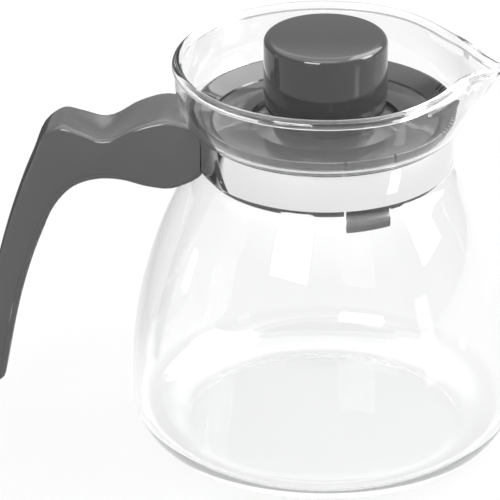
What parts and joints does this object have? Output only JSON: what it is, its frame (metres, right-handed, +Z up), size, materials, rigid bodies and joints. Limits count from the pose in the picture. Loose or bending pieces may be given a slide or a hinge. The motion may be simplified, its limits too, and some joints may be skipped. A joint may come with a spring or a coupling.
{
  "type": "glass serving jug",
  "caption": "Clear glass serving jug with a pouring lip, a steel neck strap holding a side handle, and a lift-off strainer lid with a tall knob and snap tongues.",
  "frame": {"origin": "centre of the flat base, on the surface that the jug stands on", "axes": "+Z up the jug's axis; +X towards the pouring lip, with the handle towards -X; +Y across"},
  "size_m": [0.2068, 0.1468, 0.1634],
  "materials": {
    "clear_glass": "clear, fire-polished",
    "clear_liner": "soft translucent strip",
    "polished_steel": "mirror-polished stainless strap",
    "handle_plastic": "glossy dark grey moulding",
    "lid_plastic": "glossy dark grey moulding",
    "screw_steel": "plain stainless",
    "insert_brass": "turned brass"
  },
  "bodies": {
    "jug": {"glass_jug": "clear_glass", "band_liner": "clear_liner", "band_strap": "polished_steel", "handle_shell": "handle_plastic", "handle_inner_cover": "handle_plastic", "handle_cover_screws": "screw_steel", "clamp_screw": "screw_steel", "clamp_washer": "screw_steel", "clamp_insert": "insert_brass", "screw_plug": "handle_plastic"},
    "lid_ring": {"lid_ring": "lid_plastic"},
    "inner_lid": {"lid_knob": "lid_plastic", "lid_base_plate": "lid_plastic", "lid_plate_screws": "screw_steel"},
    "near_tongue": {"latch_tongue_near": "lid_plastic"},
    "far_tongue": {"latch_tongue_far": "lid_plastic"}
  },
  "joints": [
    {"name": "lid_lift", "type": "slide", "parent": "jug", "child": "lid_ring", "axis": [0, 0, 1], "range_m": [0, 0.06]},
    {"name": "inner_lid_turn", "type": "hinge", "parent": "lid_ring", "child": "inner_lid", "pos_m": [0, 0, 0.128], "axis": [0, 0, 1], "continuous": true},
    {"name": "near_tongue_flex", "type": "hinge", "parent": "lid_ring", "child": "near_tongue", "pos_m": [0.0168, -0.03958, 0.126], "axis": [0.9205, 0.3907, 0], "range_deg": [0, 6], "stiffness_Nm_per_rad": 0.2},
    {"name": "far_tongue_flex", "type": "hinge", "parent": "lid_ring", "child": "far_tongue", "pos_m": [0.0168, 0.03958, 0.126], "axis": [-0.9205, 0.3907, 0], "range_deg": [0, 6], "stiffness_Nm_per_rad": 0.2}
  ]
}
